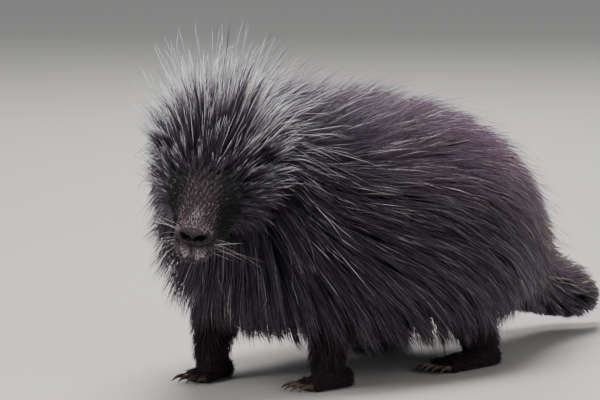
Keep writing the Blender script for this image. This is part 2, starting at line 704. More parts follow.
# The long coat. Lengths are in metres on top, at the sides, below, and added in the skirt.
coat = {
    "top": {
        "tailTip": 0.030, "tailClub": 0.046, "tailBase": 0.058, "rump": 0.070, "haunch": 0.084,
        "loin": 0.096, "ribs": 0.106, "shoulder": 0.120, "neckBase": 0.132, "neck": 0.128,
        "occiput": 0.104, "ears": 0.074, "cheeks": 0.040, "eyes": 0.013,
    },
    "side": {
        "tailTip": 0.028, "tailClub": 0.044, "tailBase": 0.056, "rump": 0.066, "haunch": 0.078,
        "loin": 0.084, "ribs": 0.086, "shoulder": 0.084, "neckBase": 0.078, "neck": 0.066,
        "occiput": 0.054, "ears": 0.042, "cheeks": 0.027, "eyes": 0.010,
    },
    "below": {
        "tailTip": 0.014, "tailBase": 0.020, "rump": 0.026, "loin": 0.032, "shoulder": 0.048,
        "neckBase": 0.074, "neck": 0.082, "occiput": 0.074, "ears": 0.056, "cheeks": 0.038,
        "eyes": 0.018,
    },
    "skirt": {"tailBase": 0.006, "rump": 0.014, "haunch": 0.026, "ribs": 0.030, "neckBase": 0.012, "neck": 0},
    "spacing": {  # between the middles of clumps
        "tailTip": 0.0058, "rump": 0.0066, "loin": 0.0072, "shoulder": 0.0070, "neckBase": 0.0067,
        "neck": 0.0060, "occiput": 0.0054, "ears": 0.0047, "cheeks": 0.0039, "eyes": 0.0032,
    },
    "halfWidth": {
        "tailTip": 0.00050, "loin": 0.00050, "shoulder": 0.00046, "neckBase": 0.00042,
        "neck": 0.00038, "occiput": 0.00034, "cheeks": 0.00028, "eyes": 0.00024,
    },
    "hairs": 8,  # in each clump
    "woolShare": 0.28,  # of them short, soft and dark
    "steps": 9,
    "rings": (0, 0.22, 0.50, 0.78, 1),
    "taper": (0.70, 1.0, 0.86, 0.52),
    "flatness": 0.75,
    "clumping": 0.62,
    "splay": 0.035,
    "sunk": 0.003,
    "lowest": 0.004,
    "rise": {  # how much of the coat's depth the tips reach along the back
        "tailTip": 0.96, "haunch": 0.96, "loin": 0.96, "ribs": 0.98, "shoulder": 1.02, "neckBase": 1.04,
        "neck": 1.00, "occiput": 0.94, "ears": 0.92,
    },
    "throat": {  # how much further than that depth the tips hang below head and neck
        "shoulder": 1.0, "neckBase": 1.1, "neck": 1.45, "occiput": 1.9, "ears": 2.2, "cheeks": 2.1, "eyes": 1.2,
    },
    "highest": 0.397,
    "seed": 11,
}
# How likely a hair is to be pale towards its tip, and how yellow that pale is.
coatTint = {
    "paleTop": {
        "tailTip": 0.12, "tailBase": 0.16, "rump": 0.10, "haunch": 0.04, "loin": 0.03, "ribs": 0.04,
        "shoulder": 0.03, "neckBase": 0.02, "neck": 0.02, "occiput": 0.24, "ears": 0.90,
        "cheeks": 0.22, "eyes": 0.06,
    },
    "paleSide": {
        "tailTip": 0.08, "tailBase": 0.08, "rump": 0.07, "haunch": 0.10, "loin": 0.11, "ribs": 0.12,
        "shoulder": 0.12, "neckBase": 0.07, "neck": 0.05, "occiput": 0.12, "ears": 0.32,
        "cheeks": 0.38, "eyes": 0.05,
    },
    "paleLow": {"tailTip": 0.06, "rump": 0.02, "loin": 0.004, "neckBase": 0.01, "neck": 0.03, "eyes": 0.01},
    "glinting": {"tailTip": 0.2, "rump": 1.2, "haunch": 1.2, "loin": 0.95, "ribs": 0.35, "shoulder": 0.0},
    "yellow": {"tailTip": 0.7, "rump": 0.6, "ribs": 0.55, "shoulder": 0.45, "neck": 0.16, "ears": 0.05},
    "redBack": {
        "tailTip": 0.1, "rump": 0.9, "haunch": 1.1, "loin": 1.05, "ribs": 0.66, "shoulder": 0.42,
        "neckBase": 0.24, "neck": 0,
    },
    "root": "#0c070b",
    "shaft": "#2b2233",
    "redShaft": "#9a748e",
    "glint": "#9c929f",
    "grey": "#f6eff9",
    "cream": "#ead9b0",
}


def lieOf(along, around):
    # How far hair turns from tailward to downward, in radians, signed by side.
    aside = np.abs((around + 180) % 360 - 180)
    droop = np.interp(aside, (0, 45, 90, 125, 145, 165, 180), (0, 14, 32, 54, 58, 25, 0))
    amount = alongSections(along, {
        "tailMiddle": 0.25, "rump": 0.80, "haunch": 1.10, "loin": 1.0, "ribs": 0.85, "shoulder": 0.70,
        "neckBase": 0.60, "occiput": 0.30, "cheeks": 0.10,
    })
    return np.radians(droop * amount) * np.sign((around + 180) % 360 - 180)


def hairLength(along, around):
    # Side length by the squared sine, top or below by the squared cosine, plus the skirt.
    across, rise = np.sin(np.radians(around)), np.cos(np.radians(around))
    upright = np.where(rise > 0, alongSections(along, coat["top"]), alongSections(along, coat["below"]))
    length = alongSections(along, coat["side"]) * across**2 + upright * rise**2
    return length + alongSections(along, coat["skirt"]) * np.maximum(0, -2 * np.abs(across) * rise)


def evenRoots(ends, sides, density):
    # Roots spread evenly over the skin: the sequence of multiples of powers of 1 / 1.2207,
    # modulo 1, in three numbers, kept where the third is under density times the area that
    # one of them stands for.
    span = (ends[1] - ends[0]) * (sides[1] - sides[0])
    testAlong, testAround = np.meshgrid(np.linspace(*ends, 40), np.linspace(*sides, 37))
    _, _, _, _, perMetre, perDegree = bodyFrame(testAlong, testAround, 0.0)
    most = np.max(density(testAlong, testAround) * perMetre * perDegree) * span * 1.1
    number = np.arange(int(most))[:, None]
    spots = (0.5 + number * np.array([1, 1 / 1.2207440846, 1 / 1.2207440846**2]) / 1.2207440846) % 1
    along = ends[0] + (ends[1] - ends[0]) * spots[:, 0]
    around = sides[0] + (sides[1] - sides[0]) * spots[:, 1]
    _, _, _, _, perMetre, perDegree = bodyFrame(along, around, 0.0)
    kept = spots[:, 2] < density(along, around) * perMetre * perDegree * span / len(number)
    return along[kept], around[kept]


def clumpPaths(along, around, length, tipShare, swing):
    # Many paths over the body at once: each leaves the skin, follows the lie of the coat and
    # climbs to its share of the coat's depth by 1 - (1 - u) to the power 1.35. It advances by
    # the root of the squared length less the squared climb.
    steps, tailEnd = coat["steps"], spine["along"][0] + 0.006
    start = alongSections(along, skin["share"])
    climb = np.linalg.norm(bodyAt(along, around, tipShare) - bodyAt(along, around, start), axis=-1)
    step = np.sqrt(np.maximum(length**2 - climb**2, (0.35 * length) ** 2)) / steps
    placed = []
    for k in range(steps + 1):
        u = k / steps
        share = start + (tipShare - start) * (1 - (1 - u) ** 1.35)
        here, out, tailward, roundBody, perMetre, perDegree = bodyFrame(along, around, share)
        turn = lieOf(along, around) + swing
        flow = tailward * np.cos(turn)[:, None] + roundBody * np.sin(turn)[:, None]
        if placed:
            before, beforeOut, beforeFlow = placed[-1]
            past = (along < tailEnd)[:, None]
            onward = before + (beforeFlow + 0.12 * beforeOut) * step[:, None]
            here = np.where(past, onward, here)
            out, flow = np.where(past, beforeOut, out), np.where(past, beforeFlow, flow)
        placed.append((here, out, flow))
        along = np.where(along < tailEnd, along, along - np.cos(turn) * step / perMetre)
        around = around + np.sin(turn) * step / perDegree
    return [np.stack([row[k] for row in placed], 1) for k in range(3)]


def hairsOf(draw, paths, clumpRadius, perClump, lengthShare):
    # Hairs of each clump: each starts in a disc round the clump's root, comes in towards the
    # clump's middle by clumping times t to the power 0.8, and splays by t to the power 1.5.
    centres, outs, flows = paths
    number = len(centres) * perClump
    clump = np.repeat(np.arange(len(centres)), perClump)
    stops = np.array(coat["rings"])
    s = np.clip(stops[None, :] * lengthShare[:, None], 0, 1) * coat["steps"]
    i = np.minimum(np.floor(s).astype(int), coat["steps"] - 1)
    w = (s - i)[..., None]
    c = clump[:, None]
    middle, out, flow = (mix(field[c, i], field[c, i + 1], w) for field in (centres, outs, flows))
    aside = unit(np.cross(flow, out))
    turn, far = draw.uniform(0, 2 * math.pi, number), np.sqrt(draw.uniform(0, 1, number))
    offset = clumpRadius[clump] * far
    close = (1 - coat["clumping"] * stops**0.8)[None, :, None]
    reach = np.linalg.norm(centres[:, -1] - centres[:, 0], axis=-1)[clump] * lengthShare
    splay = draw.normal(0, coat["splay"], (2, number)) * reach
    spread = (stops**1.5)[None, :, None]
    points = middle + aside * ((offset * np.cos(turn))[:, None, None] * close + splay[0][:, None, None] * spread)
    points += flow * (offset * np.sin(turn))[:, None, None] * close + out * splay[1][:, None, None] * spread
    points[:, 0] -= out[:, 0] * coat["sunk"]
    low = coat["lowest"] + draw.uniform(0, 0.004, number)[:, None]
    points[:, :, 2] = np.clip(points[:, :, 2], low, coat["highest"])
    return points, out, clump


def hairColours(draw, along, around, isWool):
    # Dark roots, brown shafts that are redder on the back, and grey or cream tips on some.
    number, stops = len(along), np.array(coat["rings"])[None, :, None]
    aside = np.abs((around + 180) % 360 - 180)
    topness, lowness = smooth(62, 14, aside), smooth(80, 110, aside)
    flank = smooth(25, 65, aside) * alongSections(along, {"neckBase": 0, "shoulder": 1})
    chance = mix(alongSections(along, coatTint["paleSide"]), alongSections(along, coatTint["paleTop"]), topness)
    chance = mix(chance, alongSections(along, coatTint["paleLow"]), lowness)
    isPale = (draw.uniform(0, 1, number) < chance) & ~isWool
    shade = {key: linear(coatTint[key]) for key in ("root", "shaft", "redShaft", "glint", "grey", "cream")}
    red = (alongSections(along, coatTint["redBack"]) * smooth(85, 30, aside))[:, None]
    shaft = mix(shade["shaft"], shade["redShaft"], red * draw.uniform(0.3, 1, (number, 1)))
    glint = draw.uniform(0, 1, (number, 1)) ** (5 - 3.4 * alongSections(along, coatTint["glinting"])[:, None])
    shaft = mix(shaft, shade["glint"], np.where(isWool[:, None], 0, glint * 0.62))
    yellow = np.clip(alongSections(along, coatTint["yellow"])[:, None] + draw.normal(0, 0.22, (number, 1)), 0, 1)
    pale = mix(shade["grey"], shade["cream"], yellow) * draw.uniform(0.75, 1.40, (number, 1))
    pale = np.minimum(pale * (1 - 0.20 * flank)[:, None], 0.96)
    begin = (draw.uniform(0.38, 0.66, number) + 0.24 * flank)[:, None, None]
    tip = smooth(begin, begin + 0.22, stops) * isPale[:, None, None]
    body = mix(shade["root"], shaft[:, None, :], smooth(0.05, 0.55, stops))
    return mix(body, pale[:, None, :], tip) * draw.uniform(0.8, 1.2, (number, 1, 1))


# Coat pieces: from one section to the next, and which side of the back.
longCoatPieces = {
    "coatTail": ("tailTip", "tailBase", (-180, 180)),
    "coatRump": ("tailBase", "haunch", (-180, 180)),
    "coatLoinLeft": ("haunch", "ribs", (0, 180)),
    "coatLoinRight": ("haunch", "ribs", (-180, 0)),
    "coatShoulderLeft": ("ribs", "neckBase", (0, 180)),
    "coatShoulderRight": ("ribs", "neckBase", (-180, 0)),
    "coatNape": ("neckBase", "occiput", (-180, 180)),
    "coatCrown": ("occiput", "eyes", (-180, 180)),
}


def longCoatPiece(name, number):
    first, last, sides = longCoatPieces[name]
    draw = np.random.default_rng(coat["seed"] + number)
    ends = (place[first], place[last])
    along, around = evenRoots(
        ends, sides, lambda along, around: alongSections(along, coat["spacing"]) ** -2.0
    )
    spacing = alongSections(along, coat["spacing"])
    length = hairLength(along, around) * draw.uniform(0.92, 1.08, len(along))
    tipShare = np.clip(draw.normal(0.96, 0.07, len(along)), 0.75, 1.15)
    tipShare *= mix(1, alongSections(along, coat["rise"]), smooth(95, 35, np.abs(around)))
    tipShare *= mix(1, alongSections(along, coat["throat"]), smooth(95, 150, np.abs(around)))
    swing = np.radians(draw.normal(0, 6, len(along)))
    paths = clumpPaths(along, around, length, tipShare, swing)
    perClump = coat["hairs"]
    total = len(along) * perClump
    isWool = draw.uniform(0, 1, total) < coat["woolShare"]
    lengthShare = np.where(isWool, draw.uniform(0.40, 0.60, total), draw.uniform(0.78, 1.0, total))
    points, outs, clump = hairsOf(draw, paths, spacing * 0.75, perClump, lengthShare)
    halfWidth = alongSections(along, coat["halfWidth"])[clump] * draw.uniform(0.75, 1.25, total)
    halfWidth = np.where(isWool, halfWidth * 1.3, halfWidth)
    colours = hairColours(draw, along[clump], around[clump], isWool)
    rootUV = np.stack(
        [(around - sides[0]) / (sides[1] - sides[0]), (along - ends[0]) / (ends[1] - ends[0])], -1
    )[clump]
    rootUV = np.clip(rootUV + draw.normal(0, 0.002, rootUV.shape), 0, 1)
    return strandObject(name, points, outs, halfWidth, coat["taper"], coat["flatness"], colours, rootUV)


coatPieces = {}
for number, name in enumerate(longCoatPieces):
    coatPieces[name] = longCoatPiece(name, number)
    print(name, faceCount(coatPieces[name]), "triangles")

# Long single guard hairs that stand out past the coat, mostly pale, on crown, nape and back.
wisps = {
    "spacing": {
        "tailBase": 0.014, "haunch": 0.011, "loin": 0.0115, "ribs": 0.0110, "shoulder": 0.0096, "neckBase": 0.0088,
        "neck": 0.0080, "occiput": 0.0072, "ears": 0.0058, "cheeks": 0.0058, "eyes": 0.012,
    },
    "length": {
        "tailBase": 0.085, "haunch": 0.105, "ribs": 0.130, "neckBase": 0.158, "neck": 0.150,
        "occiput": 0.124, "ears": 0.092, "cheeks": 0.054, "eyes": 0.022,
    },
    "reach": {
        "tailBase": 1.50, "haunch": 1.62, "loin": 1.42, "ribs": 1.32, "shoulder": 1.36, "neckBase": 1.32,
        "neck": 1.28, "occiput": 1.28, "ears": 1.34, "cheeks": 1.5, "eyes": 1.6,
    },
    "sideReach": {"tailBase": 1.5, "haunch": 1.5, "loin": 1.14, "neck": 1.12},
    "halfWidth": {"haunch": 0.00030, "shoulder": 0.00028, "neck": 0.00034},
    "sides": (-105, 105),
    "swing": 10.0,
    "paleSide": {"tailBase": 0.20, "loin": 0.05, "shoulder": 0.06, "neckBase": 0.08, "neck": 0.16, "ears": 0.5},
    "seed": 21,
}


def wispPiece():
    draw = np.random.default_rng(wisps["seed"])
    ends, sides = (place["tailBase"], place["eyes"] - 0.004), wisps["sides"]
    along, around = evenRoots(
        ends, sides, lambda along, around: alongSections(along, wisps["spacing"]) ** -2.0
    )
    number = len(along)
    length = alongSections(along, wisps["length"]) * draw.uniform(0.82, 1.06, number)
    length *= mix(1, 0.80, smooth(40, 100, np.abs(around)))
    reach = alongSections(along, wisps["reach"]) * draw.uniform(0.74, 1.04, number)
    held = np.minimum(reach, alongSections(along, wisps["sideReach"]))
    reach = mix(reach, held, smooth(45, 85, np.abs(around)) * (along < place["occiput"]))
    swing = np.radians(draw.normal(0, wisps["swing"], number))
    centres, outs, _ = clumpPaths(along, around, length, reach, swing)
    stops = [round(stop * coat["steps"]) for stop in coat["rings"]]
    points, outs = centres[:, stops], outs[:, stops]
    points[:, 0] -= outs[:, 0] * coat["sunk"]
    points[:, :, 2] = np.minimum(points[:, :, 2], coat["highest"] + 0.002)
    colours = hairColours(draw, along, around, np.zeros(number, bool))
    aside = smooth(22, 62, np.abs(around))
    chance = mix(1.0, alongSections(along, wisps["paleSide"]), aside) * alongSections(
        along, {"tailBase": 0.6, "haunch": 0.2, "loin": 0.2, "ribs": 0.16, "shoulder": 0.16, "neckBase": 0.10, "neck": 0.12, "occiput": 0.50, "ears": 0.9, "cheeks": 0.55, "eyes": 0.4}
    )
    isPale = (draw.uniform(0, 1, number) < chance)[:, None, None]
    yellow = np.clip(alongSections(along, coatTint["yellow"]) + draw.normal(0, 0.2, number), 0, 1)[:, None, None]
    pale = mix(linear(coatTint["grey"]), linear(coatTint["cream"]), yellow) * draw.uniform(0.75, 1.1, (number, 1, 1))
    pale *= 1 - 0.5 * (aside * alongSections(along, {"neckBase": 0, "shoulder": 1}))[:, None, None]
    begin = draw.uniform(0.34, 0.62, (number, 1, 1)) + alongSections(along, {"loin": 0.28, "shoulder": 0.26, "neck": 0})[:, None, None]
    t = np.array(coat["rings"])[None, :, None]
    colours = mix(colours, pale, smooth(begin, begin + 0.2, t) * isPale)
    half = alongSections(along, wisps["halfWidth"]) * draw.uniform(0.7, 1.2, number)
    rootUV = np.stack(
        [(around - sides[0]) / (sides[1] - sides[0]), (along - ends[0]) / (ends[1] - ends[0])], -1
    )
    return strandObject("wisps", points, outs, half, coat["taper"], 0.9, colours, rootUV)


coatPieces["wisps"] = wispPiece()
print("wisps", faceCount(coatPieces["wisps"]), "triangles")

# Short fur: straight tufts with a little bend, rooted on any surface.
faceFur = {
    "length": {
        "cheeks": 0.016, "eyes": 0.0072, "muzzleRoot": 0.0050, "muzzle": 0.0038, "noseBack": 0.0032, "noseTip": 0.0028,
    },
    "spacing": {"cheeks": 0.0019, "eyes": 0.00150, "muzzle": 0.00120, "noseTip": 0.00105},
    "halfWidth": {"cheeks": 0.00028, "eyes": 0.00027, "muzzle": 0.00027, "noseTip": 0.00028},
    "lift": 26.0,
    "padLift": 44.0,  # on the nose pad, whose fuzz stands up
    "eyeClear": (0.0056, 0.0050),  # bare round each eye, lengthwise and upwards
    "eyeShort": (0.006, 0.017),  # hair grows to its full length between these distances
    "from": -0.024,
    "seed": 31,
}
legFur = {
    "legLength": 0.017, "footLength": 0.0062,
    "legSpacing": 0.0026, "footSpacing": 0.0016,
    "legHalf": 0.00036, "footHalf": 0.00026,
    "ankle": 0.030, "top": 0.112, "lift": 22.0, "seed": 41,
}
tuft = {"rings": (0, 0.45, 1), "taper": (0.9, 0.8), "bend": 0.30}


def shortTufts(roots, normals, flow, length, lift):
    # Points at t along each tuft: t times the length along the flow, risen by the lift, and
    # the rise falls off by the bend times t, so that the tip lies flatter than the root.
    flow = unit(flow - normals * np.sum(flow * normals, -1, keepdims=True))
    t = np.array(tuft["rings"])[None, :, None]
    rise = np.tan(lift)[:, None, None] * t * (1 - tuft["bend"] * t)
    points = roots[:, None] + length[:, None, None] * (flow[:, None] * t + normals[:, None] * rise)
    points[:, 0] -= normals * 0.0006
    return points, np.repeat(normals[:, None], len(tuft["rings"]), 1)


def tuftColours(root, tip, variation):
    # From the root's colour to the tip's along each tuft.
    t = np.array(tuft["rings"])[None, :, None]
    return mix(root[:, None], tip[:, None], smooth(0.1, 1.0, t)) * variation[:, None, None]


def faceShade(ahead, left, up):
    # How pale the short fur is: palest in two patches on the lips and a blaze above the
    # nose, grizzled on the muzzle and the pad, and dark round the eyes and on the cheeks.
    patch = np.exp(-(((np.abs(left) - 0.0070) / 0.0056) ** 2) - ((up + 0.0368) / 0.0060) ** 2)
    lips = 0.90 * patch * smooth(0.044, 0.050, ahead) * smooth(-0.0450, -0.0405, up)
    blaze = np.exp(-((left / 0.0062) ** 2) - ((ahead - 0.0460) / 0.0070) ** 2) * smooth(-0.026, -0.016, up)
    muzzle = smooth(-0.006, 0.032, ahead) * smooth(-0.034, -0.018, up) * smooth(0.0195, 0.0150, np.abs(left))
    pad = smooth(0.047, 0.053, ahead) * smooth(-0.026, -0.021, up)
    chin = smooth(0.030, 0.044, ahead) * smooth(-0.046, -0.050, up)
    fringe = 0.26 * smooth(0.044, 0.050, ahead) * smooth(-0.030, -0.033, up)
    return np.clip(lips + fringe + 0.95 * blaze + 0.19 * muzzle + 0.56 * pad + 0.12 * chin, 0, 1)


facePalette = {key: linear(value) for key, value in {
    "dark": "#130e12", "brown": "#624751", "grizzle": "#9d8e9a", "pale": "#f2ecec", "pad": "#b0a29c",
}.items()}


def faceFurPiece():
    draw = np.random.default_rng(faceFur["seed"])
    ends = (atHead(faceFur["from"]), spine["along"][-1] - 0.0004)
    along, around = evenRoots(
        ends, (-180, 180), lambda along, around: alongSections(along, faceFur["spacing"]) ** -2.0
    )
    front = round(math.pi * 0.0100**2 / faceFur["spacing"]["noseTip"] ** 2)
    inward = 1 - np.sqrt(draw.uniform(0.002, 1, front))
    along = np.concatenate([along, spine["along"][-1] + inward * skin["capLength"]])
    around = np.concatenate([around, draw.uniform(-180, 180, front)])
    ends = (ends[0], ends[1] + skin["capLength"])
    roots, normals, tailward = onSkin(along, around)
    ahead, left, up = headCoords(roots)
    sideways = np.cross(normals, tailward)
    stray = draw.normal(0, 0.35, (2, len(roots), 1)) * alongSections(along, faceFur["spacing"])[:, None]
    roots = roots + sideways * stray[0] + tailward * stray[1]
    ahead, left, up = headCoords(roots)
    keep = np.ones(len(roots), bool)
    for side in (1, -1):
        centre, forward, over, out = eyeFrame(side)
        away = roots - centre
        wide, high = faceFur["eyeClear"]
        keep &= ((away @ forward) / wide) ** 2 + ((away @ over) / high) ** 2 > 1
        middle, radii, tilt, _ = skin["nostril"]
        coords = np.stack([ahead, left, up], -1)
        keep &= formDistance(coords, middle, radii, tilt, side) > 0.0002
    keep &= (np.abs(up - skin["mouth"]["up"]) > 0.0010) | (ahead < skin["mouth"]["from"])
    keep &= foldShare(ahead, left, up) < 0.45
    along, around, roots, normals, tailward = (a[keep] for a in (along, around, roots, normals, tailward))
    ahead, left, up = (a[keep] for a in (ahead, left, up))
    number = len(roots)
    length = alongSections(along, faceFur["length"]) * draw.uniform(0.7, 1.25, number)
    lips = smooth(-0.029, -0.034, up) * smooth(0.040, 0.048, ahead)
    length *= 1 + 0.35 * lips
    sideways = np.cross(normals, tailward)
    flow = tailward + sideways * draw.normal(0, 0.32, (number, 1)) - headUp * (0.9 * lips)[:, None]
    flow += draw.normal(0, 0.5, flow.shape) * lips[:, None]
    for side in (1, -1):
        centre, _, _, out = eyeFrame(side)
        away = roots - centre
        away = away - out * (away @ out)[:, None]
        far = np.linalg.norm(away, axis=-1)
        near = (smooth(faceFur["eyeShort"][1], faceFur["eyeShort"][0], far) * (left * side > 0))
        length *= 1 - 0.66 * near
        flow = flow + unit(away) * (1.5 * near)[:, None]
    pad = smooth(0.046, 0.052, ahead) * smooth(-0.026, -0.021, up)
    fuzzy = np.maximum(pad, 0.7 * lips)
    lift = np.radians(mix(faceFur["lift"], faceFur["padLift"], fuzzy) * draw.uniform(0.6, 1.4, number))
    points, outs = shortTufts(roots, normals, flow, length, lift)
    pale, strength = faceShade(ahead, left, up), draw.uniform(0.25, 1.15, number)
    strength += 0.35 * lips * smooth(0.5, 0.9, pale)
    fleck = draw.uniform(0, 1, number) < 0.06 + 0.66 * pale
    root = mix(facePalette["dark"], facePalette["brown"], 0.8 * pale[:, None])
    light = mix(facePalette["grizzle"], facePalette["pale"], (pale * strength).clip(0, 1)[:, None])
    root = mix(root, light, (0.45 * lips * smooth(0.4, 1.0, pale))[:, None])
    light = mix(light, facePalette["pad"] * strength[:, None], 0.6 * pad[:, None])
    plain = mix(facePalette["dark"], facePalette["brown"], draw.uniform(0.1, 1, (number, 1)))
    aside = smooth(0.014, 0.0195, np.abs(left)) * smooth(0.056, 0.046, ahead)
    plain = mix(plain, facePalette["dark"], 0.9 * np.maximum(aside, smooth(-0.012, -0.022, up) * smooth(0.030, 0.018, ahead))[:, None])
    tip = np.where(fleck[:, None], light, plain)
    colours = tuftColours(root, tip, draw.uniform(0.8, 1.2, number))
    half = alongSections(along, faceFur["halfWidth"]) * draw.uniform(0.8, 1.2, number)
    rootUV = np.stack([(around + 180) / 360, (along - ends[0]) / (ends[1] - ends[0])], -1)
    return strandObject("furFace", points, outs, half, tuft["taper"], 0.8, colours, rootUV)


def scatterOn(draw, surface, density):
    # Roots on triangles, in number as their area times the density at their middle.
    corners, normals, areas = surface
    wanted = areas * density(corners.mean(1), normals)
    pick = draw.choice(len(areas), int(wanted.sum()), p=wanted / wanted.sum())
    u, v = draw.uniform(0, 1, (2, len(pick)))
    over = u + v > 1
    u, v = np.where(over, 1 - u, u)[:, None], np.where(over, 1 - v, v)[:, None]
    a, b, c = np.moveaxis(corners[pick], 1, 0)
    return a + (b - a) * u + (c - a) * v, normals[pick]


def legFurPiece():
    draw = np.random.default_rng(legFur["seed"])
    gathered = []
    for order, (name, surface) in enumerate(legSurfaces.items()):
        _, xOut, y, side, toeIn = feet[name]
        frame = footFrame(side * xOut, y, side, toeIn)

        def density(middles, normals):
            foot = smooth(legFur["ankle"] + 0.006, legFur["ankle"] - 0.006, middles[:, 2])
            spacing = mix(legFur["legSpacing"], legFur["footSpacing"], foot)
            hidden = (middles[:, 2] > legFur["top"]) | ((middles[:, 2] < 0.0035) & (normals[:, 2] < 0.2))
            return np.where(hidden | (normals[:, 2] < -0.75), 0, spacing**-2.0)

        roots, normals = scatterOn(draw, surface, density)
        foot = smooth(legFur["ankle"] + 0.008, legFur["ankle"] - 0.008, roots[:, 2])
        toes = np.array(frame)[:3, 1]
        down = mix(np.array([0, 0.25, -1.0]), toes + np.array([0, 0, -0.25]), foot[:, None])
        flow = down + draw.normal(0, 0.12, down.shape)
        length = mix(legFur["legLength"], legFur["footLength"], foot) * draw.uniform(0.7, 1.2, len(roots))
        lift = np.radians(legFur["lift"] * draw.uniform(0.5, 1.4, len(roots)))
        points, outs = shortTufts(roots, normals, flow, length, lift)
        points[:, :, 2] = np.maximum(points[:, :, 2], 0.0008)
        centre = np.array(frame)[:3, 3]
        turn = np.arctan2(roots[:, 1] - centre[1], roots[:, 0] - centre[0]) / (2 * math.pi) + 0.5
        rootUV = np.stack([(order + turn) / len(feet), np.clip(roots[:, 2] / legFur["top"], 0, 1)], -1)
        half = mix(legFur["legHalf"], legFur["footHalf"], foot) * draw.uniform(0.8, 1.2, len(roots))
        tone = draw.uniform(0.1, 1, (len(roots), 1))
        tip = mix(facePalette["dark"], facePalette["brown"], tone)
        root = np.repeat(facePalette["dark"][None] * 0.7, len(roots), 0)
        colours = tuftColours(root, tip, draw.uniform(0.8, 1.2, len(roots)))
        gathered.append((points, outs, half, colours, rootUV))
    points, outs, half, colours, rootUV = (np.concatenate(parts) for parts in zip(*gathered))
    return strandObject("furLegs", points, outs, half, tuft["taper"], 0.8, colours, rootUV)


coatPieces["furFace"] = faceFurPiece()
coatPieces["furLegs"] = legFurPiece()
print("face fur", faceCount(coatPieces["furFace"]), "and leg fur", faceCount(coatPieces["furLegs"]))

# Whiskers: each leaves the side of the upper lip, bows outwards and hangs a little.
whiskers = {
    "perSide": 11, "ahead": (0.028, 0.052), "up": (-0.043, -0.022), "length": (0.028, 0.064),
    "halfWidth": 0.00018, "colour": "#e4dcd8", "seed": 51,
}


def whiskerPiece():
    draw = np.random.default_rng(whiskers["seed"])
    number = whiskers["perSide"] * 2
    side = np.repeat([1, -1], whiskers["perSide"])
    ahead = draw.uniform(*whiskers["ahead"], number)
    up = draw.uniform(*whiskers["up"], number)
    along = atHead(ahead)
    row = spineAt(along)
    drop = np.sum((row[:, :3] - spine["headAt"]) * headUp, -1) - up
    around = side * (90 + np.degrees(np.arcsin(np.clip(drop / row[:, 8], -0.9, 0.9))))
    roots, normals, tailward = onSkin(along, around)
    length = draw.uniform(*whiskers["length"], number)[:, None, None]
    t = np.array(coat["rings"])[None, :, None]
    heading = unit(normals + tailward * draw.uniform(0.0, 0.9, (number, 1)) + headUp * draw.uniform(-0.7, 0.3, (number, 1)))
    sag = np.array([0, 0, -1.0]) * draw.uniform(0.10, 0.45, (number, 1))
    sag = sag + tailward * draw.uniform(0, 0.3, (number, 1))
    points = roots[:, None] + length * (heading[:, None] * t + sag[:, None] * t**2)
    points[:, 0] -= normals * 0.002
    outs = np.repeat(headUp[None, None], number, 0).repeat(t.shape[1], 1)
    half = np.full(number, whiskers["halfWidth"]) * draw.uniform(0.7, 1.2, number)
    colours = np.ones((number, t.shape[1], 3)) * linear(whiskers["colour"])
    colours *= draw.uniform(0.25, 0.95, (number, 1, 1))
    rootUV = np.stack([(side + 1) / 2 * 0.5 + draw.uniform(0, 0.45, number), draw.uniform(0, 1, number)], -1)
    return strandObject("whiskers", points, outs, half, (1, 0.9, 0.7, 0.4), 1.0, colours, rootUV)


coatPieces["whiskers"] = whiskerPiece()

# Quills: stiff spines on tail and rump, cream with a dark tip.
quills = {
    "spacing": {"tailTip": 0.0120, "tailBase": 0.0125, "rump": 0.013, "haunch": 0.020},
    "length": {"tailTip": 0.034, "tailBase": 0.050, "haunch": 0.058},
    "halfWidth": 0.00085, "sides": (-82, 82), "to": "haunch", "tipShare": 1.02,
    "cream": "#d8cdaa", "dark": "#1c1512", "seed": 61,
}


def quillPiece():
    draw = np.random.default_rng(quills["seed"])
    ends = (place["tailTip"] + 0.004, place[quills["to"]])
    along, around = evenRoots(
        ends, quills["sides"], lambda along, around: alongSections(along, quills["spacing"]) ** -2.0
    )
    number = len(along)
    length = alongSections(along, quills["length"]) * draw.uniform(0.85, 1.1, number)
    swing = np.radians(draw.normal(0, 9, number))
    centres, outs, _ = clumpPaths(along, around, length, quills["tipShare"] * draw.uniform(0.85, 1.08, number), swing)
    stops = [round(stop * coat["steps"]) for stop in coat["rings"]]
    points, outs = centres[:, stops], outs[:, stops]
    points[:, 0] -= outs[:, 0] * coat["sunk"]
    t = np.array(coat["rings"])[None, :, None]
    shade = mix(linear(quills["cream"]), linear(quills["dark"]), smooth(0.62, 0.86, t))
    colours = shade * draw.uniform(0.7, 1.1, (number, 1, 1))
    half = quills["halfWidth"] * draw.uniform(0.8, 1.2, number)
    rootUV = np.stack(
        [(around - quills["sides"][0]) / (quills["sides"][1] - quills["sides"][0]), (along - ends[0]) / (ends[1] - ends[0])], -1
    )
    return strandObject("quills", points, outs, half, (0.8, 1, 1, 0.7), 1.0, colours, rootUV)


coatPieces["quills"] = quillPiece()

# Eyes: a ball with the clear front bulged, and lids as a closed almond ring hugging it.
eyeLook = {"bulge": 0.035, "bulgeWide": 30.0, "pupil": 30.0, "iris": 52.0}
lids = {"wide": 62.0, "high": 50.0, "band": 9.0, "thick": 0.00065, "lift": 0.00028, "skin": "#141013", "rim": "#322b31"}
eyePalette = {key: linear(value) for key, value in {"pupil": "#030202", "iris": "#130a06", "white": "#050404"}.items()}


